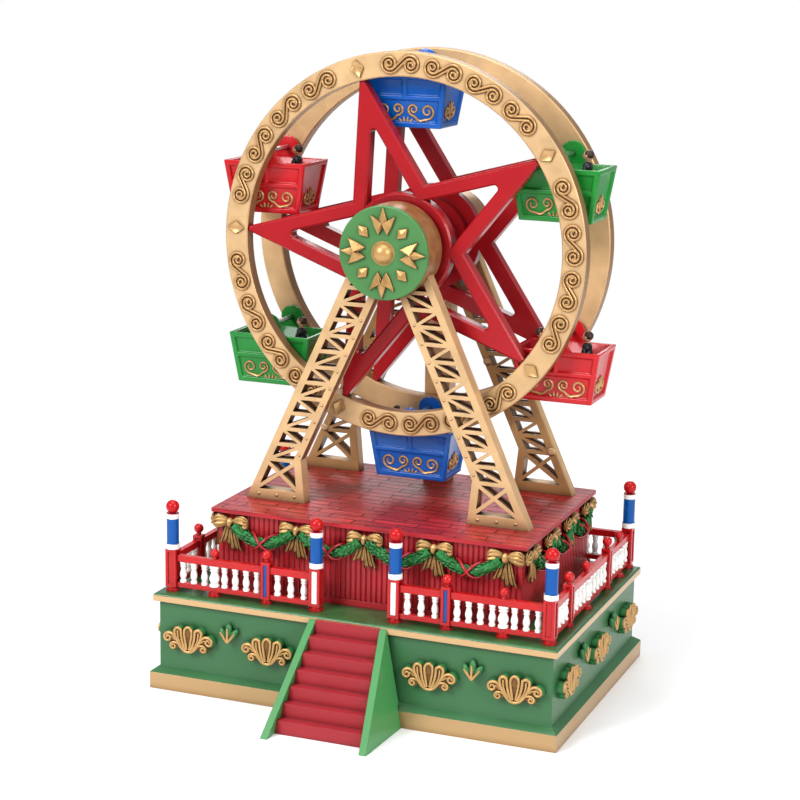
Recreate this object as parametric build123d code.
from build123d import *
import os
from math import acos, atan2, cos, degrees, hypot, pi, radians, sin, tan

# A hand cranked table-top ferris wheel. Millimetres, +Z up, +X along the front, -Y is the front.
# The origin is the middle of the underside of the plinth.

# ---------------------------------------------------------------- plinth
base_width = 120.0          # gold moulding, left to right
base_depth = 84.0           # gold moulding, front to back
moulding_height = 4.8       # gold band on the table
moulding_bevel = 1.6        # green slope from the band up to the wall
wall_inset = 2.2            # wall face behind the moulding face
wall_thickness = 1.8
plinth_height = 27.8        # top of the green slab
slab_thickness = 2.2
slab_inset = 0.8            # slab edge behind the moulding face
bottom_plate_thickness = 1.6
bottom_plate_gap = 0.2
screw_post_radius = 3.2
screw_shank_radius = 1.0
screw_head_radius = 2.0
screw_head_height = 0.9
screw_length = 8.0
screw_inset = 5.2           # screw axis in from the inner wall faces
seat_clearance = 0.02       # between glued or pressed pieces that nest

# ---------------------------------------------------------------- stairs
stair_risers = 7
stair_going = 2.95          # depth of one tread
stair_top_width = 18.6      # between the stringers at the slab
stair_bottom_width = 26.4   # between the stringers on the table
stringer_thickness = 2.0
stringer_run = 23.2         # stringer length on the table, in front of the slab
stair_drop = 0.8            # top riser below the slab's top face

# ---------------------------------------------------------------- deck house
deck_width = 93.0
deck_depth = 64.8
deck_centre_y = 2.2
deck_top = 51.4
deck_thickness = 1.2
deck_overhang = 1.6         # deck edge beyond the wall boards
board_pitch = 1.55          # vertical bead boards
board_groove = 0.35
house_wall = 1.8
skirting_height = 1.8
skirting_proud = 0.5

# ---------------------------------------------------------------- bows and swags
front_bow_count = 5
side_bow_count = 4
bow_drop = 4.4              # knot below the deck's top
bow_span = 9.8
bow_loop_radius = 1.5
bow_tail_length = 7.0
bow_end_margin = 4.3        # end knot in from the corner of the house
swag_sag = 4.0
swag_radius = 1.5

# ---------------------------------------------------------------- fence
fence_side_inset = 4.5      # side fence in from the moulding's face
fence_front_inset = 5.8
fence_back_inset = 3.0
stair_post_x = 11.6
rail_depth = 1.6
top_rail_top = 38.4
top_rail_height = 1.9
low_rail_bottom = 29.1
low_rail_height = 1.4
tall_post_side = 3.2
tall_post_top = 40.0
short_post_side = 2.6
short_post_top = 39.7
panel_recess = 0.35
panel_margin = 0.75
foot_radius = 2.0
pole_radius = 1.72
collar_radius = 1.95
collar_height = 1.5
pole_top = 48.8             # blue part ends, upper collar begins
tall_ball_radius = 1.9
short_ball_radius = 1.4
finial_neck_radius = 0.7
baluster_pitch = 3.15
baluster_radius = 0.95
thick_baluster_radius = 1.45

# ---------------------------------------------------------------- wheel
wheel_y = 6.2               # middle plane of the wheel
wheel_z = 125.2             # axle height
ring_outer_radius = 53.2
ring_inner_radius = 46.4
ring_thickness = 4.2
ring_gap = 19.0             # between the rings' inner faces
star_tip_radius = 48.4
star_bar = 4.1
star_turn = 15.4            # tips turned from straight up, degrees
star_edge = 0.5              # chamfer round the front of the star
star_opening_round = 1.0     # rounding of the openings where they point to the tips
star_hub_overlap = 1.6      # hub disc beyond the inner corners between the arms
collar_step = 1.1           # stepped collar on each star's outer face
collar_step_radius = 12.0
drum_radius = 9.0
drum_flange = 2.4           # flange at each star, as high as it is wide
star_back_gap = 0.2         # star's flat faces behind the ring's
axle_radius = 1.5
axle_tail_radius = 1.0
running_clearance = 0.05

# ---------------------------------------------------------------- gondolas
gondolas = 6
gondola_turn = 32.0         # first pin, degrees from +X
pin_circle_radius = 49.6
pin_radius = 0.75
pin_sunk = 1.2              # pin end inside each ring
tub_top_length = 25.0
tub_bottom_length = 20.6
tub_top_width = 17.2
tub_bottom_width = 13.8
tub_height = 14.6
tub_wall = 1.2
tub_rim_drop = 2.8          # rim below the pin
tub_frame = 1.3             # raised frame round the panels
tub_panel_recess = 0.4
tub_panel_split = 0.56      # rail between lower and upper panels, share of the height
ear_radius = 3.4
bench_length = 4.6
bench_height = 4.2
rider_x = 6.6
rider_body_radius = 2.0
rider_shoulder_radius = 1.3
rider_body_height = 10.9
rider_head_radius = 1.45

# ---------------------------------------------------------------- towers and hubs
hub_radius = 12.9
hub_depth = 9.8
hub_wall = 1.6
hub_gap = 0.4               # between a star's collar and the hub
hub_cap_thickness = 1.2
hub_cap_dome = 3.0
hub_groove = 0.8
bush_radius = 3.0
bush_length = 5.0
tower_offset = 18.0         # tower's near face from the wheel's middle plane
leg_depth = 4.1
leg_face = 1.2
leg_lattice_plate = 1.0
leg_foot_x = 42.4
leg_lean = 0.455            # sideways per unit of height
leg_width = 11.1            # measured level
leg_rail = 2.2
rung_pitch = 4.64
rung_height = 1.1
brace_width = 0.9
foot_inner_x = 24.4
foot_height = 12.5          # knee above the deck
foot_plate_height = 3.0

# ---------------------------------------------------------------- drive
belt_radius = 0.5
belt_pitch_radius = 2.4
belt_y = 27.0
belt_clearance = 0.1        # belt off the pulley's groove
pulley_width = 3.0
pulley_flange = 0.45
column_half_width = 3.8
column_depth = 5.6
column_wall = 0.8
drive_z = 14.0
gear_module = 0.7
gear_teeth = 30
pinion_teeth = 12
pressure_angle = 25.0
tooth_backlash = 0.14
centre_slack = 0.08
gear_width = 3.0
lay_shaft_radius = 1.0
crank_radius = 1.1
crank_throw = 9.4
crank_arm_gap = 5.4         # crank arm behind the rear wall
crank_bend = 1.8
crank_pin_length = 8.2
knob_radius = 3.2
knob_length = 6.8
knob_gap = 0.3
bracket_reach = 5.0         # front bearing plate ahead of the belt
bracket_plate = 1.6
bracket_half_width = 5.0

# ---------------------------------------------------------------- plinth ornaments
shell_width = 17.0
shell_height = 8.0
shell_proud = 2.8
shell_z = 15.6
front_shell_x = (23.8, 48.0)
side_shell_pitch = 29.0
fleur_z = 19.4
fleur_height = 5.0
fleur_proud = 2.4

# ---------------------------------------------------------------- worked out sizes
front_y = -base_depth / 2
slab_under = plinth_height - slab_thickness
wall_x = base_width / 2 - wall_inset
wall_y = base_depth / 2 - wall_inset
inner_x = wall_x - wall_thickness
inner_y = wall_y - wall_thickness
slab_x = base_width / 2 - slab_inset
slab_y = base_depth / 2 - slab_inset
deck_under = deck_top - deck_thickness
house_x = deck_width / 2 - deck_overhang
house_front = deck_centre_y - deck_depth / 2 + deck_overhang
house_back = deck_centre_y + deck_depth / 2 - deck_overhang
front_ring_face = wheel_y - ring_gap / 2 - ring_thickness
rear_ring_face = wheel_y + ring_gap / 2 + ring_thickness
front_tower_face = wheel_y - tower_offset - leg_depth
hub_near = ring_gap / 2 + ring_thickness + collar_step + hub_gap
hub_far = hub_near + hub_depth
star_notch = star_tip_radius * sin(radians(18)) / sin(radians(54))
star_inner_tip = star_tip_radius - star_bar / sin(radians(18))
star_inner_notch = star_notch - star_bar / sin(radians(54))
star_hub_radius = star_inner_notch + star_hub_overlap
gear_pitch_radius = gear_module * gear_teeth / 2
pinion_pitch_radius = gear_module * pinion_teeth / 2
crank_x = gear_pitch_radius + pinion_pitch_radius + centre_slack
crank_arm_y = wall_y + crank_arm_gap
bracket_front_y = belt_y - bracket_reach
bracket_back_y = inner_y - bottom_plate_gap - bracket_plate
gear_y = (belt_y + pulley_width / 2 + bracket_back_y - gear_width) / 2
fence_x = base_width / 2 - fence_side_inset
fence_front_y = front_y + fence_front_inset
fence_back_y = -front_y - fence_back_inset
parts = {}


# ---------------------------------------------------------------- shape helpers
def block(x0, x1, y0, y1, z0, z1):
    """A box between two corners."""
    return Pos((x0 + x1) / 2, (y0 + y1) / 2, (z0 + z1) / 2) * Box(x1 - x0, y1 - y0, z1 - z0)


def rod_y(radius, y0, y1, x=0.0, z=0.0):
    """A round bar along Y."""
    return Pos(x, (y0 + y1) / 2, z) * Rot(90, 0, 0) * Cylinder(radius, y1 - y0)


def cut_xz(sketch, y0, y1):
    """A sketch drawn in X and Z, given thickness from y0 to y1."""
    return extrude(Plane.XZ.offset(-y1) * sketch, y1 - y0)


def bar(start, end, width):
    """A flat bar of one width between two points of a sketch."""
    dx, dy = end[0] - start[0], end[1] - start[1]
    middle = Pos((start[0] + end[0]) / 2, (start[1] + end[1]) / 2)
    return middle * Rot(0, 0, degrees(atan2(dy, dx))) * Rectangle(hypot(dx, dy), width)


def outline(*points):
    """A filled polygon through its corners."""
    return make_face(Polyline(*points, close=True))


def turned(points):
    """A solid of revolution about Z from radius and height pairs."""
    profile = [(0, points[0][1])] + list(points) + [(0, points[-1][1])]
    return revolve(Plane.XZ * make_face(Polyline(*profile, close=True)), Axis.Z)


def main_solid(shape):
    """The largest solid of a trimmed piece, without its scraps."""
    return max(shape.solids(), key=lambda solid: solid.volume)


def mirrored_y(shape):
    """The same piece on the other side of the wheel's middle plane."""
    return mirror(shape, Plane.XZ.offset(-wheel_y))


def save(name, *shapes):
    """Write one node, one or more separate solids."""
    solids = [solid for shape in shapes for solid in shape.solids()]
    whole = solids[0] if len(solids) == 1 else Compound(children=solids)
    parts[name] = whole
    export_step(whole, f"parts/{name}.step")


# ---------------------------------------------------------------- plinth
def screw_places():
    """The four bottom screws, near the inner corners."""
    x, y = inner_x - screw_inset, inner_y - screw_inset
    return [(x, y), (-x, y), (x, -y), (-x, -y)]


def plinth_shell():
    """Four walls with a stepped moulding at the foot and screw posts inside."""
    walls = block(-wall_x, wall_x, -wall_y, wall_y, 0, slab_under)
    band = block(-base_width / 2, base_width / 2, front_y, -front_y, 0, moulding_height)
    slope_base = Plane.XY.offset(moulding_height) * Rectangle(base_width, base_depth)
    slope_top = Plane.XY.offset(moulding_height + moulding_bevel) * Rectangle(2 * wall_x, 2 * wall_y)
    body = walls + band + loft([slope_base.face(), slope_top.face()])
    body -= block(-inner_x, inner_x, -inner_y, inner_y, 0, slab_under)
    for x, y in screw_places():
        post = Pos(x, y, (bottom_plate_thickness + slab_under) / 2)
        post *= Cylinder(screw_post_radius, slab_under - bottom_plate_thickness)
        toward_wall_x = inner_x if x > 0 else -inner_x
        web = block(min(x, toward_wall_x), max(x, toward_wall_x), y - wall_thickness / 2,
                    y + wall_thickness / 2, bottom_plate_thickness, slab_under)
        hole = Pos(x, y, bottom_plate_thickness + screw_length / 2)
        hole *= Cylinder(screw_shank_radius + seat_clearance, screw_length)
        body = body + post + web - hole
    body -= rod_y(crank_radius + 4 * running_clearance, inner_y - 1, wall_y + 1, crank_x, drive_z)
    return body


def bottom_plate():
    """The plate that closes the plinth, flush with the moulding's foot."""
    x, y = inner_x - bottom_plate_gap, inner_y - bottom_plate_gap
    plate = block(-x, x, -y, y, 0, bottom_plate_thickness)
    for sx, sy in screw_places():
        shank = Cylinder(screw_shank_radius + seat_clearance, bottom_plate_thickness)
        head = Cylinder(screw_head_radius + seat_clearance, screw_head_height)
        plate -= Pos(sx, sy, bottom_plate_thickness / 2) * shank
        plate -= Pos(sx, sy, screw_head_height / 2) * head
    return plate


def bottom_screws():
    """Four pan head screws, their heads sunk in the plate."""
    screws = []
    for sx, sy in screw_places():
        head = Pos(sx, sy, (screw_head_height + 0.2) / 2) * Cylinder(screw_head_radius, screw_head_height - 0.2)
        shank = Pos(sx, sy, screw_head_height + screw_length / 2 - 0.1)
        shank *= Cylinder(screw_shank_radius, screw_length)
        screws.append(head + shank)
    return screws


def belt_hole(z0, z1):
    """The slot that the drive belt runs through."""
    half = column_half_width - column_wall
    depth = column_depth / 2 - column_wall
    return block(-half, half, belt_y - depth, belt_y + depth, z0, z1)


def top_slab():
    """The slab on the walls, with a softened edge and the belt slot."""
    slab = block(-slab_x, slab_x, -slab_y, slab_y, slab_under, plinth_height)
    slab = fillet(slab.edges().group_by(Axis.Z)[-1], 0.7)
    return slab - belt_hole(slab_under - 1, plinth_height + 1)


# ---------------------------------------------------------------- stairs
stair_top = plinth_height - stair_drop
stair_rise = stair_top / stair_risers
stair_plane = -slab_y


def stringer_face(side, outside):
    """The wedge outline of a stringer, on its inner or outer side."""
    grow = stringer_thickness if outside else 0.0
    top = side * (stair_top_width / 2 + grow)
    foot = side * (stair_bottom_width / 2 + grow)
    back = side * (stair_bottom_width / 2 + grow * 1.6)
    corners = [(top, stair_plane, stair_top), (foot, stair_plane - stringer_run, 0), (back, stair_plane, 0)]
    return Face(Wire([Edge.make_line(corners[i], corners[(i + 1) % 3]) for i in range(3)]))


def moulding_space():
    """What the plinth's moulding and wall take up behind the stairs."""
    return block(-base_width, base_width, front_y, 0, -1, moulding_height + moulding_bevel)


def stair_stringers():
    """Two wedge plates that splay outwards to the foot."""
    pair = []
    for side in (-1, 1):
        inner, outer = stringer_face(side, False), stringer_face(side, True)
        pair.append(loft([inner, outer]) - moulding_space())
    return pair


def stair_steps():
    """A flight of steps that widens downwards between the stringers."""
    points = [(stair_plane, 0), (stair_plane, stair_top)]
    for i in range(stair_risers):
        y = stair_plane - 0.6 - i * stair_going
        points.append((y, stair_top - i * stair_rise))
        points.append((y, stair_top - (i + 1) * stair_rise))
    flight = extrude(Plane.YZ * outline(*points), stair_bottom_width, both=True)
    top, low = stair_top_width / 2 - seat_clearance, stair_bottom_width / 2 - seat_clearance
    between = outline((-low, 0), (low, 0), (top, stair_top), (-top, stair_top))
    return (flight & cut_xz(between, stair_plane - stringer_run, stair_plane)) - moulding_space()


# ---------------------------------------------------------------- deck house
def board_outline():
    """The house's plan with a fine groove between the boards."""
    corners = [(-house_x, house_front), (house_x, house_front), (house_x, house_back), (-house_x, house_back)]
    points = []
    for i in range(4):
        (ax, ay), (bx, by) = corners[i], corners[(i + 1) % 4]
        length = hypot(bx - ax, by - ay)
        ux, uy = (bx - ax) / length, (by - ay) / length
        count = round(length / board_pitch)
        points.append((ax, ay))
        for k in range(1, count):
            s = length * k / count
            for offset, depth in ((-board_groove, 0), (0, board_groove), (board_groove, 0)):
                points.append((ax + ux * (s + offset) - uy * depth, ay + uy * (s + offset) + ux * depth))
    return outline(*points)


def house_walls():
    """Bead board walls with a skirting, open at the top and the bottom."""
    height = deck_under - plinth_height
    walls = extrude(Plane.XY.offset(plinth_height) * board_outline(), height)
    skirting = block(-house_x - skirting_proud, house_x + skirting_proud, house_front - skirting_proud,
                     house_back + skirting_proud, plinth_height, plinth_height + skirting_height)
    inside = block(-house_x + house_wall, house_x - house_wall, house_front + house_wall,
                   house_back - house_wall, plinth_height - 1, deck_under + 1)
    return walls + skirting - inside


def deck():
    """The plank deck, a thin board that overhangs the walls."""
    y0, y1 = deck_centre_y - deck_depth / 2, deck_centre_y + deck_depth / 2
    board = block(-deck_width / 2, deck_width / 2, y0, y1, deck_under, deck_top)
    return board - belt_hole(deck_under - 1, deck_top + 1)


# ---------------------------------------------------------------- bows and swags
def bow():
    """One bow facing -Y at the origin: two loops, a knot and two tails."""
    loops = []
    for side in (-1, 1):
        loop = Pos(side * bow_span / 4, -bow_loop_radius * 0.8, 0) * Rot(0, side * 10, 0)
        loops.append(loop * Box(bow_span / 2, bow_loop_radius * 1.6, bow_loop_radius * 2))
    tails = []
    for side in (-1, 1):
        tip = (side * bow_span * 0.22, -bow_tail_length)
        tail = cut_xz(bar((0, 0), tip, bow_loop_radius * 1.3), -bow_loop_radius, 0)
        tails.append(tail)
    knot = rod_y(bow_loop_radius * 0.8, -bow_loop_radius * 2, 0)
    return loops[0] + loops[1] + tails[0] + tails[1] + knot


def spread(start, end, count):
    """Evenly spaced values, both ends included."""
    return [start + (end - start) * i / (count - 1) for i in range(count)]


def house_sides():
    """Each wall as its frame at the wall face, its bow count and the first bow's place."""
    middle = (house_front + house_back) / 2
    half = (house_back - house_front) / 2
    z = deck_top - bow_drop
    return [
        (Pos(0, house_front, z), front_bow_count, house_x - bow_end_margin),
        (Pos(house_x, middle, z) * Rot(0, 0, 90), side_bow_count, half - bow_end_margin),
        (Pos(0, house_back, z) * Rot(0, 0, 180), front_bow_count, house_x - bow_end_margin),
        (Pos(-house_x, middle, z) * Rot(0, 0, -90), side_bow_count, half - bow_end_margin),
    ]


def bows():
    """Gold bows along the top of all four walls."""
    one = bow()
    return [place * Pos(x, 0, 0) * one
            for place, count, reach in house_sides() for x in spread(-reach, reach, count)]


def swags():
    """Garland swags that hang between neighbouring bows."""
    swag_list = []
    one = bow()
    for place, count, reach in house_sides():
        knots = spread(-reach, reach, count)
        pitch = knots[1] - knots[0]
        half = pitch / 2 - bow_span * 0.3
        path = Plane.XZ * Polyline((-half, 0), (-half / 2, -swag_sag * 0.8), (half / 2, -swag_sag * 0.8), (half, 0))
        section = Plane(path @ 0, z_dir=path % 0) * RegularPolygon(swag_radius, 8)
        garland = Pos(0, -swag_radius, 0) * sweep(section, path, transition=Transition.RIGHT)
        garland = main_solid(garland - Pos(-pitch / 2, 0, 0) * one - Pos(pitch / 2, 0, 0) * one)
        for left, right in zip(knots, knots[1:]):
            swag_list.append(place * Pos((left + right) / 2, 0, 0) * garland)
    return swag_list


# ---------------------------------------------------------------- fence
top_rail_under = top_rail_top - top_rail_height
low_rail_top = low_rail_bottom + low_rail_height


def foot(radius):
    """A round foot from the slab up to a post or a low rail."""
    z0, z1 = plinth_height, low_rail_bottom
    step = (z0 + z1) / 2
    return turned([(radius, z0), (radius, step), (radius * 0.8, step), (radius * 0.8, z1)])


def finial(base_z, radius):
    """A ball on a short neck."""
    centre = base_z + radius + 0.5
    neck = Pos(0, 0, (base_z + centre) / 2) * Cylinder(finial_neck_radius, centre - base_z)
    return neck + Pos(0, 0, centre) * Sphere(radius)


def panelled_post(side, top):
    """A square post on a foot with a sunk panel in each face."""
    post = block(-side / 2, side / 2, -side / 2, side / 2, low_rail_bottom, top)
    z0, z1 = low_rail_bottom + panel_margin, top - panel_margin
    for turn in (0, 90, 180, 270):
        sunk = block(-side / 2 + panel_margin, side / 2 - panel_margin, -side / 2 - 1,
                     -side / 2 + panel_recess, z0, z1)
        post -= Rot(0, 0, turn) * sunk
    return post + foot(side * 0.6)


def fence_run(length, short_posts, thick_places):
    """Rails along +X from one tall post's face to the next, with what stands between them."""
    half = tall_post_side / 2
    rails = block(half, length - half, -rail_depth / 2, rail_depth / 2, top_rail_under, top_rail_top)
    rails += block(half, length - half, -rail_depth / 2, rail_depth / 2, low_rail_bottom, low_rail_top)
    post = panelled_post(short_post_side, short_post_top) + finial(short_post_top, short_ball_radius)
    for x in short_posts:
        rails += Pos(x, 0, 0) * post
    for x in thick_places:
        rails += Pos(x, 0, 0) * (foot(foot_radius * 0.9) + finial(top_rail_top, short_ball_radius * 0.9))
    return rails


def baluster(radius):
    """A small baluster between the rails, eight sided, with a belly and a neck."""
    z0, z1 = low_rail_top, top_rail_under
    heights = ((z0, 0.7), (z0 + (z1 - z0) * 0.3, 1.0), (z0 + (z1 - z0) * 0.75, 0.55), (z1, 0.8))
    return loft([Pos(0, 0, z) * RegularPolygon(radius * share, 8) for z, share in heights], ruled=True)


def baluster_places(length, short_posts, thick_places):
    """Evenly filled places between the uprights of one run."""
    ends = [(0, tall_post_side / 2)] + [(x, short_post_side / 2) for x in short_posts]
    ends += [(x, thick_baluster_radius) for x in thick_places] + [(length, tall_post_side / 2)]
    ends.sort()
    places = []
    for (a, half_a), (b, half_b) in zip(ends, ends[1:]):
        clear = (b - half_b) - (a + half_a)
        count = max(1, round(clear / baluster_pitch - 0.35))
        places += [a + half_a + clear * (k + 0.5) / count for k in range(count)]
    return places


def fence_layout():
    """Each run: name, frame at its first post, length, short posts and thick balusters."""
    front = fence_x - stair_post_x
    side = fence_back_y - fence_front_y
    back = 2 * fence_x
    short, thick = 29.0, 13.0
    side_short = [16.0, side - 22.4]
    side_thick = [side_short[0] + 16.4, side - 10.0]
    return [
        ("front_left", Pos(-fence_x, fence_front_y, 0), front, [short], [thick]),
        ("front_right", Pos(fence_x, fence_front_y, 0) * Rot(0, 0, 180), front, [short], [thick]),
        ("right", Pos(fence_x, fence_front_y, 0) * Rot(0, 0, 90), side, side_short, side_thick),
        ("left", Pos(-fence_x, fence_front_y, 0) * Rot(0, 0, 90), side, side_short, side_thick),
        ("back", Pos(-fence_x, fence_back_y, 0), back, [short, back - short],
         [thick, back / 2, back - thick]),
    ]


def tall_post_places():
    """Four corners and the two posts at the stairs."""
    places = [(side * fence_x, y) for side in (-1, 1) for y in (fence_front_y, fence_back_y)]
    return places + [(side * stair_post_x, fence_front_y) for side in (-1, 1)]


def tall_pole():
    """The round upper pole: collar, pole, collar and ball in one turned piece."""
    low, high = tall_post_top, pole_top
    shaft = turned([(collar_radius, low), (collar_radius, low + collar_height),
                    (pole_radius, low + collar_height), (pole_radius, high),
                    (collar_radius * 0.92, high), (collar_radius * 0.92, high + collar_height)])
    return shaft + Pos(0, 0, high + collar_height + tall_ball_radius * 0.95) * Sphere(tall_ball_radius)


def build_fence():
    """Write the fence runs, balusters, tall posts and poles."""
    white = []
    for name, place, length, short_posts, thick_places in fence_layout():
        save(f"fence_{name}", place * fence_run(length, short_posts, thick_places))
        white += [place * Pos(x, 0, 0) * baluster(baluster_radius)
                  for x in baluster_places(length, short_posts, thick_places)]
        white += [place * Pos(x, 0, 0) * baluster(thick_baluster_radius) for x in thick_places]
    save("balusters", *white)
    post, pole = panelled_post(tall_post_side, tall_post_top), tall_pole()
    save("tall_posts", *[Pos(x, y, 0) * post for x, y in tall_post_places()])
    save("tall_poles", *[Pos(x, y, 0) * pole for x, y in tall_post_places()])


# ---------------------------------------------------------------- wheel
def ring(y0, y1):
    """One flat ring of the wheel with softened edges."""
    disc = rod_y(ring_outer_radius, y0, y1, 0, wheel_z) - rod_y(ring_inner_radius, y0 - 1, y1 + 1, 0, wheel_z)
    disc = chamfer(disc.edges(), 0.3)
    for x, z in pin_places():
        disc -= rod_y(pin_radius + seat_clearance, wheel_y - ring_gap / 2 - pin_sunk,
                      wheel_y + ring_gap / 2 + pin_sunk, x, z)
    return disc


def star_points(tip, notch):
    """The ten corners of a five-pointed star."""
    corners = []
    for k in range(10):
        radius = tip if k % 2 == 0 else notch
        angle = radians(90 + star_turn + 36 * k)
        corners.append((radius * cos(angle), wheel_z + radius * sin(angle)))
    return corners


def star():
    """The front star: flat bars round five long openings, a hub disc and a stepped collar."""
    y0, y1 = front_ring_face + star_back_gap, wheel_y - ring_gap / 2 - star_back_gap
    hub_disc = Pos(0, wheel_z) * Circle(star_hub_radius)
    rim = Pos(0, wheel_z) * Circle(ring_inner_radius - seat_clearance)
    arms = outline(*star_points(star_tip_radius, star_notch)) & rim
    openings = outline(*star_points(star_inner_tip, star_inner_notch)) - hub_disc
    tips = [corner for corner in openings.vertices() if hypot(corner.X, corner.Y - wheel_z) > star_inner_tip - 1]
    openings = fillet(tips, star_opening_round)
    frame = cut_xz(arms + hub_disc - openings, y0, y1)
    frame = chamfer(frame.edges().group_by(Axis.Y)[0], star_edge)
    frame += rod_y(collar_step_radius, front_ring_face - collar_step, y1, 0, wheel_z)
    bore = axle_radius + seat_clearance
    return frame - rod_y(bore, front_ring_face - 5, y1 + 5, 0, wheel_z)


def hub_drum():
    """The spool between the two stars."""
    half = ring_gap / 2 + star_back_gap
    drum = rod_y(drum_radius, wheel_y - half, wheel_y + half, 0, wheel_z)
    flange = rod_y(drum_radius + drum_flange, wheel_y - half, wheel_y - half + drum_flange, 0, wheel_z)
    drum += flange + mirrored_y(flange)
    return drum - rod_y(axle_radius + seat_clearance, wheel_y - 2 * half, wheel_y + 2 * half, 0, wheel_z)


def wheel_axle():
    """The steel axle, thinner at the rear where the pulley sits."""
    y0 = wheel_y - hub_far + hub_wall
    thin_from = belt_y - pulley_width / 2
    thick = rod_y(axle_radius, y0, thin_from, 0, wheel_z)
    return thick + rod_y(axle_tail_radius, thin_from, thin_from + pulley_width + 0.6, 0, wheel_z)


def pulley(bore_radius, x, z):
    """A small grooved pulley for the round belt."""
    y0, y1 = belt_y - pulley_width / 2, belt_y + pulley_width / 2
    flange_radius = belt_pitch_radius + 0.3
    wheel = rod_y(flange_radius, y0, y1, x, z)
    floor_radius = belt_pitch_radius - belt_radius - belt_clearance
    gap = rod_y(flange_radius + 1, y0 + pulley_flange, y1 - pulley_flange, x, z)
    gap -= rod_y(floor_radius, y0, y1, x, z)
    return wheel - gap - rod_y(bore_radius + seat_clearance, y0 - 1, y1 + 1, x, z)


def pin_places():
    """Where the six gondola pins stand."""
    angles = [radians(gondola_turn + 360 / gondolas * k) for k in range(gondolas)]
    return [(pin_circle_radius * cos(a), wheel_z + pin_circle_radius * sin(a)) for a in angles]


def gondola_pins():
    """Steel pins from ring to ring."""
    reach = ring_gap / 2 + pin_sunk
    return [rod_y(pin_radius, wheel_y - reach, wheel_y + reach, x, z) for x, z in pin_places()]


# ---------------------------------------------------------------- gondolas
def tub_loft(shrink, z_low, z_high):
    """A tapered block that follows the tub's slope, pulled in by a wall."""
    faces = []
    for z in (z_low, z_high):
        share = (z + tub_rim_drop + tub_height) / tub_height
        length = tub_bottom_length + (tub_top_length - tub_bottom_length) * share - 2 * shrink
        width = tub_bottom_width + (tub_top_width - tub_bottom_width) * share - 2 * shrink
        faces.append((Plane.XY.offset(z) * Rectangle(length, width)).face())
    return loft(faces)


def panel_cut(half_bottom, half_top, spread_low, spread_high, z_low, z_high, offset):
    """A shallow panel sunk in a sloping side that faces -Y."""
    def y_at(z):
        share = (z + tub_rim_drop + tub_height) / tub_height
        return -(half_bottom + (half_top - half_bottom) * share)
    faces = []
    for z, half in ((z_low, spread_low), (z_high, spread_high)):
        y = y_at(z)
        plan = Plane.XY.offset(z) * Pos(offset, y) * Rectangle(2 * half, 2 * tub_panel_recess)
        faces.append(plan.face())
    return loft(faces)


def tub():
    """One open tub at the origin of its pin: panelled sides, benches and two ears."""
    rim, floor = -tub_rim_drop, -tub_rim_drop - tub_height
    body = tub_loft(0, floor, rim)
    middle = floor + tub_height * tub_panel_split
    upper = (middle + tub_frame / 2, rim - tub_frame)
    lower = (floor + tub_frame, middle - tub_frame / 2)
    half_low, half_high = tub_bottom_length / 2 - tub_frame, tub_top_length / 2 - tub_frame
    for turn in (0, 180):
        for z0, z1, offset, share in ((upper[0], upper[1], -1, 0.5), (upper[0], upper[1], 1, 0.5),
                                      (lower[0], lower[1], 0, 1.0)):
            def half_at(z):
                part = (z - floor) / tub_height
                return half_low + (half_high - half_low) * part
            inset = 0.0 if offset == 0 else tub_frame / 4
            shift = offset * half_at(z0) * 0.5
            cut = panel_cut(tub_bottom_width / 2, tub_top_width / 2, half_at(z0) * share - inset,
                            half_at(z1) * share - inset, z0, z1, shift)
            body -= Rot(0, 0, turn) * cut
    side_low, side_high = tub_bottom_width / 2 - tub_frame, tub_top_width / 2 - tub_frame
    for turn in (90, 270):
        cut = panel_cut(tub_bottom_length / 2, tub_top_length / 2, side_low, side_high,
                        floor + tub_frame, rim - tub_frame, 0)
        body -= Rot(0, 0, turn) * cut
    hollow = tub_loft(tub_wall, floor + tub_wall, rim + 1)
    inner_half = tub_bottom_length / 2
    for side in (-1, 1):
        x0, x1 = sorted((side * (inner_half - bench_length), side * (inner_half + 10)))
        hollow -= block(x0, x1, -tub_top_width, tub_top_width, floor, floor + tub_wall + bench_height)
    body -= hollow
    for side in (-1, 1):
        y0, y1 = sorted((side * (tub_top_width / 2 - tub_wall), side * tub_top_width / 2))
        ear = rod_y(ear_radius, y0, y1) + block(-ear_radius, ear_radius, y0, y1, rim - tub_wall, 0)
        body += ear
    return body - rod_y(pin_radius + running_clearance, -tub_top_width, tub_top_width)


def riders():
    """Two seated figures on the end benches, plain bodies with a round head."""
    seat = -tub_rim_drop - tub_height + tub_wall + bench_height
    pair = []
    for side in (-1, 1):
        body = turned([(rider_body_radius, seat), (rider_body_radius, seat + 2.0),
                       (rider_shoulder_radius, seat + rider_body_height)])
        head = Pos(0, 0, seat + rider_body_height + rider_head_radius * 0.75) * Sphere(rider_head_radius)
        pair.append(Pos(side * rider_x, 0, 0) * (body + head))
    return pair


def build_gondolas():
    """Write six tubs and their riders, each hanging straight down."""
    one, pair = tub(), riders()
    for number, (x, z) in enumerate(pin_places(), start=1):
        place = Pos(x, wheel_y, z)
        save(f"gondola_{number}_tub", place * one)
        save(f"gondola_{number}_riders", *[place * rider for rider in pair])


# ---------------------------------------------------------------- towers
def leg_outer_x(z):
    return leg_foot_x - leg_lean * (z - deck_top)


def leg_inner_x(z):
    return leg_outer_x(z) - leg_width


def leg_outline():
    """The right leg's outline: a leaning beam with a knee and an upright foot."""
    knee = deck_top + foot_height
    top = wheel_z
    return outline((foot_inner_x, deck_top), (leg_foot_x, deck_top), (leg_outer_x(top), top),
                   (leg_inner_x(top), top), (leg_inner_x(knee), knee))


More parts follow.
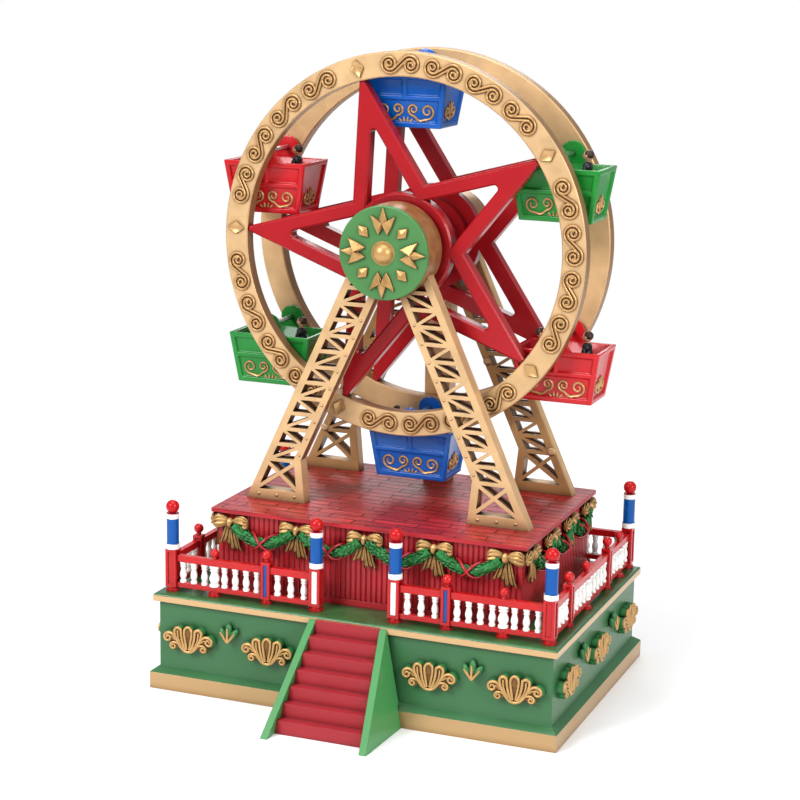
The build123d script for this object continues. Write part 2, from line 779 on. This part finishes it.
def leg_rails():
    """The solid edge strips of a leg and its foot plate."""
    knee = deck_top + foot_height
    top = wheel_z
    outer = outline((leg_outer_x(deck_top) - leg_rail, deck_top), (leg_foot_x, deck_top),
                    (leg_outer_x(top), top), (leg_outer_x(top) - leg_rail, top))
    inner = outline((leg_inner_x(knee), knee), (leg_inner_x(knee) + leg_rail, knee),
                    (leg_inner_x(top) + leg_rail, top), (leg_inner_x(top), top))
    foot_rail = outline((foot_inner_x, deck_top), (foot_inner_x + leg_rail, deck_top),
                        (leg_inner_x(knee) + leg_rail, knee), (leg_inner_x(knee), knee))
    plate = outline((foot_inner_x, deck_top), (leg_foot_x, deck_top),
                    (leg_outer_x(deck_top + foot_plate_height), deck_top + foot_plate_height),
                    (foot_inner_x, deck_top + foot_plate_height))
    return outer + inner + foot_rail + plate


def leg_lattice():
    """Rungs with one diagonal in each cell, and a cross in the foot."""
    knee = deck_top + foot_height
    web = leg_rails()
    rung_z = knee - rung_height / 2
    row = 0
    while rung_z < wheel_z - hub_radius + rung_pitch:
        left, right = leg_inner_x(rung_z) + leg_rail / 2, leg_outer_x(rung_z) - leg_rail / 2
        web += bar((left, rung_z), (right, rung_z), rung_height)
        above = rung_z + rung_pitch
        if row % 2 == 0:
            web += bar((right, rung_z), (leg_inner_x(above) + leg_rail / 2, above), brace_width)
        else:
            web += bar((left, rung_z), (leg_outer_x(above) - leg_rail / 2, above), brace_width)
        rung_z = above
        row += 1
    low, high = deck_top + foot_plate_height - 0.5, knee - rung_height
    left_low, right_low = foot_inner_x + leg_rail / 2, leg_outer_x(low) - leg_rail / 2
    left_high, right_high = leg_inner_x(high) + leg_rail / 2, leg_outer_x(high) - leg_rail / 2
    web += bar((left_low, low), (right_high, high), brace_width * 1.2)
    web += bar((right_low, low), (left_high, high), brace_width * 1.2)
    return web & leg_outline()


def hub_clearance():
    """The room that a hub takes out of the leg tops."""
    radius = hub_radius + seat_clearance
    return rod_y(radius, -base_depth, base_depth, 0, wheel_z)


def leg_shell():
    """The front right leg: a channel with the lattice in its outer face."""
    y0 = front_tower_face
    shell = cut_xz(leg_lattice(), y0, y0 + leg_face)
    shell += cut_xz(leg_rails() & leg_outline(), y0, y0 + leg_depth - leg_lattice_plate)
    return shell - hub_clearance()


def leg_back_lattice():
    """The lattice plate that closes the front right leg toward the wheel."""
    y1 = front_tower_face + leg_depth
    return cut_xz(leg_lattice(), y1 - leg_lattice_plate, y1) - hub_clearance()


def build_towers():
    """Write the four legs and the lattice plates that close them."""
    right, plate = main_solid(leg_shell()), main_solid(leg_back_lattice())
    save("front_right_leg", right)
    save("front_left_leg", mirror(right, Plane.YZ))
    save("front_leg_lattices", plate, mirror(plate, Plane.YZ))
    half = column_half_width + seat_clearance
    beside = block(-half, half, 0, base_depth, deck_top - 1, wheel_z)
    right, plate = main_solid(mirrored_y(right) - beside), main_solid(mirrored_y(plate) - beside)
    save("rear_right_leg", right)
    save("rear_left_leg", mirror(right, Plane.YZ))
    save("rear_leg_lattices", plate, mirror(plate, Plane.YZ))


def hub_housing():
    """The front hub: a round dish with a central post for the bush, open to the front."""
    near, far = wheel_y - hub_near, wheel_y - hub_far
    body = rod_y(hub_radius, far, near, 0, wheel_z)
    body -= rod_y(hub_radius - hub_wall, far - 1, near - hub_wall, 0, wheel_z)
    body += rod_y(bush_radius + hub_wall, near - bush_length, near, 0, wheel_z)
    body -= rod_y(bush_radius + seat_clearance, far - 1, near + 1, 0, wheel_z)
    return body


def hub_bush():
    """The brass bush in the front hub."""
    near = wheel_y - hub_near
    bush = rod_y(bush_radius, near - bush_length, near, 0, wheel_z)
    return bush - rod_y(axle_radius + running_clearance, near - bush_length - 1, near + 1, 0, wheel_z)


def hub_cap():
    """The front cap: a disc with a raised middle dome."""
    far = wheel_y - hub_far
    disc = rod_y(hub_radius, far - hub_cap_thickness, far, 0, wheel_z)
    disc = fillet(disc.edges().group_by(Axis.Y)[0], 0.4)
    plug = rod_y(hub_radius - hub_wall - seat_clearance, far, far + 0.8, 0, wheel_z)
    dome = Pos(0, far - hub_cap_thickness + 0.6, wheel_z) * Sphere(hub_cap_dome)
    dome &= block(-hub_radius, hub_radius, far - hub_cap_thickness - 3, far - 0.2,
                  wheel_z - hub_radius, wheel_z + hub_radius)
    return disc + plug + dome


def crown(turn):
    """A three pointed crown relief on the cap, pointing outwards."""
    half, low, high = 3.0, 6.1, 11.4
    points = [(-half, high - 1.8), (-half * 0.62, low), (-0.6, low + 1.9), (0, low + 1.1), (0.6, low + 1.9),
              (half * 0.62, low), (half, high - 1.8), (half * 0.4, low + 3.4), (0, high), (-half * 0.4, low + 3.4)]
    return Rot(0, 0, turn) * outline(*points)


def kite(turn):
    """A small kite relief between two crowns."""
    low, high = 6.0, 9.4
    return Rot(0, 0, turn) * outline((0, low), (1.3, high - 1.2), (0, high), (-1.3, high - 1.2))


def hub_ornaments():
    """Four crowns and four kites on the front cap."""
    face_y = wheel_y - hub_far - hub_cap_thickness
    reliefs = []
    for k in range(4):
        for sketch in (crown(90 * k), kite(90 * k + 45)):
            reliefs.append(cut_xz(Pos(0, wheel_z) * sketch, face_y - 0.7, face_y))
    return reliefs


def rear_hub_housing():
    """The rear hub: the dish mirrored, with a groove round it and a mouth for the belt."""
    body = mirrored_y(hub_housing())
    middle = wheel_y + hub_near + 2.2
    groove = rod_y(hub_radius + 1, middle, middle + 0.8, 0, wheel_z)
    groove -= rod_y(hub_radius - hub_groove, middle - 1, middle + 2, 0, wheel_z)
    body -= groove
    room = rod_y(hub_radius - hub_wall, belt_y - pulley_width / 2 - 0.3, wheel_y + hub_far + 1, 0, wheel_z)
    body -= room
    return body - belt_hole(wheel_z - hub_radius - 2, wheel_z)


def rear_bush():
    """The brass bush in the rear hub, cut short of the pulley."""
    bush = mirrored_y(hub_bush())
    limit = belt_y - pulley_width / 2 - 0.3
    return bush & block(-hub_radius, hub_radius, 0, limit, wheel_z - hub_radius, wheel_z + hub_radius)


def rear_hub_cover():
    """The plain cover that closes the rear hub."""
    far = wheel_y + hub_far
    disc = rod_y(hub_radius, far, far + hub_cap_thickness, 0, wheel_z)
    return disc + rod_y(hub_radius - hub_wall - seat_clearance, far - 0.8, far, 0, wheel_z)


def drive_column():
    """The hollow casing of the belt, from the deck up to the rear hub."""
    half = column_half_width
    y0, y1 = belt_y - column_depth / 2, belt_y + column_depth / 2
    casing = block(-half, half, y0, y1, deck_top, wheel_z)
    casing -= belt_hole(deck_top - 1, wheel_z + 1)
    return main_solid(casing - hub_clearance())


# ---------------------------------------------------------------- drive
def involute(angle):
    return tan(angle) - angle


def gear_outline(teeth, turn):
    """A spur gear's outline with involute flanks and a named backlash."""
    pitch = gear_module * teeth / 2
    slope = radians(pressure_angle)
    base = pitch * cos(slope)
    tip, root = pitch + 0.9 * gear_module, pitch - 1.2 * gear_module
    half_tooth = (pi * gear_module / 2 - tooth_backlash) / 2 / pitch
    start = max(base, root)
    radii = [start + (tip - start) * k / 3 for k in range(4)]
    flank = [(r, half_tooth + involute(slope) - involute(acos(base / r))) for r in radii]
    points = []
    for tooth in range(teeth):
        centre = 2 * pi * tooth / teeth + radians(turn)
        path = [(r, centre - a) for r, a in flank] + [(r, centre + a) for r, a in reversed(flank)]
        if start > root:
            path = [(root, path[0][1])] + path + [(root, path[-1][1])]
        points += [(r * cos(a), r * sin(a)) for r, a in path]
    return points


def gear(teeth, turn, bore, x):
    """A spur gear on its shaft, between the bracket's plates."""
    disc = cut_xz(Pos(x, drive_z) * outline(*gear_outline(teeth, turn)), gear_y, gear_y + gear_width)
    return disc - rod_y(bore + seat_clearance, gear_y - 1, gear_y + gear_width + 1, x, drive_z)


def lay_shaft():
    """The shaft that carries the large gear and the lower pulley."""
    return rod_y(lay_shaft_radius, bracket_front_y, bracket_back_y + bracket_plate, 0, drive_z)


def large_gear():
    """The large gear with lightening holes, moulded in one with the lower pulley."""
    body = gear(gear_teeth, 0, lay_shaft_radius, 0)
    for k in range(5):
        angle = radians(72 * k)
        reach = gear_pitch_radius * 0.56
        body -= rod_y(gear_pitch_radius * 0.2, gear_y - 1, gear_y + gear_width + 1,
                      reach * cos(angle), drive_z + reach * sin(angle))
    hub = rod_y(lay_shaft_radius * 2.2, belt_y + pulley_width / 2 - 0.1, gear_y + 0.1, 0, drive_z)
    hub -= rod_y(lay_shaft_radius + seat_clearance, belt_y, gear_y + gear_width, 0, drive_z)
    return body + hub + pulley(lay_shaft_radius, 0, drive_z)


def drive_belt():
    """The round rubber belt from the lower pulley up to the axle."""
    reach = belt_pitch_radius
    loop = Plane.XZ.offset(-belt_y)
    arcs = [loop * Line((reach, drive_z), (reach, wheel_z)),
            loop * ThreePointArc((reach, wheel_z), (0, wheel_z + reach), (-reach, wheel_z)),
            loop * Line((-reach, wheel_z), (-reach, drive_z)),
            loop * ThreePointArc((-reach, drive_z), (0, drive_z - reach), (reach, drive_z))]
    path = Wire([edge for arc in arcs for edge in arc.edges()])
    section = Plane((reach, belt_y, drive_z), z_dir=(0, 0, 1)) * Circle(belt_radius)
    return sweep(section, path)


def crank_rod():
    """A bent steel rod: shaft, arm and the pin of the knob."""
    tip_y = crank_arm_y + crank_pin_length
    corners = [(crank_x, bracket_front_y, drive_z), (crank_x, crank_arm_y, drive_z),
               (crank_x, crank_arm_y, drive_z + crank_throw), (crank_x, tip_y, drive_z + crank_throw)]
    path = FilletPolyline(*corners, radius=crank_bend)
    section = Plane(corners[0], z_dir=(0, 1, 0)) * Circle(crank_radius)
    return sweep(section, path)


def crank_knob():
    """The turned knob that runs free on the crank's pin."""
    y0 = crank_arm_y + crank_bend + knob_gap
    profile = [(knob_radius * 0.62, 0), (knob_radius * 0.8, 0.8), (knob_radius, knob_length * 0.55),
               (knob_radius * 0.86, knob_length * 0.88), (knob_radius * 0.5, knob_length)]
    knob = Pos(crank_x, y0, drive_z + crank_throw) * Rot(-90, 0, 0) * turned(profile)
    bore = crank_radius + running_clearance
    depth = crank_arm_y + crank_pin_length + knob_gap
    return knob - rod_y(bore, y0 - 1, depth, crank_x, drive_z + crank_throw)


def drive_bracket():
    """A frame on the bottom plate with two upright bearing plates."""
    half = bracket_half_width
    x0, x1 = -half, crank_x + half
    z0 = bottom_plate_thickness
    bracket = block(x0, x1, bracket_front_y, bracket_back_y + bracket_plate, z0, z0 + 1.0)
    for y in (bracket_front_y, bracket_back_y):
        bracket += block(x0, x1, y, y + bracket_plate, z0, drive_z + half)
    for x, radius in ((0, lay_shaft_radius), (crank_x, crank_radius)):
        bracket -= rod_y(radius + running_clearance, bracket_front_y - 1, bracket_back_y + 3, x, drive_z)
    return bracket


# ---------------------------------------------------------------- plinth ornaments
def shell_sketch():
    """A scallop shell with a scroll at each side."""
    half, tall = shell_width / 2, shell_height / 2
    fan = Pos(0, 0.2) * Ellipse(half * 0.45, tall)
    lobes = [Pos(half * 0.13 * k, tall * (0.78 - 0.1 * abs(k))) * Circle(half * 0.11) for k in (-3, -1, 1, 3)]
    sketch = fan
    for lobe in lobes:
        sketch += lobe
    for side in (-1, 1):
        sketch += bar((side * half * 0.3, -tall * 0.3), (side * half * 0.82, 0.4), tall * 0.5)
        sketch += Pos(side * half * 0.82, tall * 0.2) * Circle(half * 0.18)
        sketch += Pos(side * half * 0.62, -tall * 0.45) * Circle(half * 0.12)
    return sketch


def fleur_sketch():
    """A small three leaved sprig."""
    tall = fleur_height
    sketch = outline((0, -tall / 2), (tall * 0.14, 0), (0, tall / 2), (-tall * 0.14, 0))
    for side in (-1, 1):
        sketch += outline((0, -tall / 2), (side * tall * 0.2, -tall * 0.1), (side * tall * 0.5, tall * 0.25),
                          (side * tall * 0.12, tall * 0.1))
    return sketch


def plinth_sides():
    """Frames on the four walls with the places of shells and sprigs."""
    front = [side * x for side in (-1, 1) for x in front_shell_x]
    front_sprigs = [side * sum(front_shell_x) / 2 for side in (-1, 1)]
    side_shells = [-side_shell_pitch, 0, side_shell_pitch]
    side_sprigs = [-side_shell_pitch / 2, side_shell_pitch / 2]
    back = [front_shell_x[1], front_shell_x[0], -front_shell_x[1]]
    back_sprigs = [front_sprigs[1]]
    return [
        (Pos(0, -wall_y, 0), front, front_sprigs),
        (Pos(wall_x, 0, 0) * Rot(0, 0, 90), side_shells, side_sprigs),
        (Pos(0, wall_y, 0) * Rot(0, 0, 180), back, back_sprigs),
        (Pos(-wall_x, 0, 0) * Rot(0, 0, -90), side_shells, side_sprigs),
    ]


def build_ornaments():
    """Write the shells and the sprigs as two groups."""
    shell = cut_xz(Pos(0, shell_z) * shell_sketch(), -shell_proud, 0)
    sprig = cut_xz(Pos(0, fleur_z) * fleur_sketch(), -fleur_proud, 0)
    shells, sprigs = [], []
    for place, shell_list, sprig_list in plinth_sides():
        shells += [place * Pos(x, 0, 0) * shell for x in shell_list]
        sprigs += [place * Pos(x, 0, 0) * sprig for x in sprig_list]
    save("shell_ornaments", *shells)
    save("sprig_ornaments", *sprigs)


# ---------------------------------------------------------------- the whole toy
def build():
    os.makedirs("parts", exist_ok=True)
    save("plinth_shell", plinth_shell())
    save("bottom_plate", bottom_plate())
    save("bottom_screws", *bottom_screws())
    save("top_slab", top_slab())
    save("stair_steps", stair_steps())
    save("stair_stringers", *stair_stringers())
    build_ornaments()
    save("house_walls", house_walls())
    save("deck", deck())
    save("bows", *bows())
    save("swags", *swags())
    build_fence()
    build_towers()
    save("front_hub", hub_housing())
    save("front_hub_cap", hub_cap())
    save("front_hub_ornaments", *hub_ornaments())
    save("rear_hub", rear_hub_housing())
    save("rear_hub_cover", rear_hub_cover())
    save("axle_bushes", hub_bush(), rear_bush())
    save("drive_column", drive_column())
    save("drive_bracket", drive_bracket())
    save("drive_belt", drive_belt())
    front_ring = ring(front_ring_face, front_ring_face + ring_thickness)
    front_star = star()
    save("front_ring", front_ring)
    save("rear_ring", ring(rear_ring_face - ring_thickness, rear_ring_face))
    save("front_star", front_star)
    save("rear_star", mirrored_y(front_star))
    save("hub_drum", hub_drum())
    save("wheel_axle", wheel_axle())
    save("gondola_pins", *gondola_pins())
    save("upper_pulley", pulley(axle_tail_radius, 0, wheel_z))
    build_gondolas()
    save("lay_shaft", lay_shaft())
    save("large_gear", large_gear())
    save("crank_rod", crank_rod())
    save("crank_pinion", gear(pinion_teeth, 180 / pinion_teeth, crank_radius, crank_x))
    save("crank_knob", crank_knob())


build()
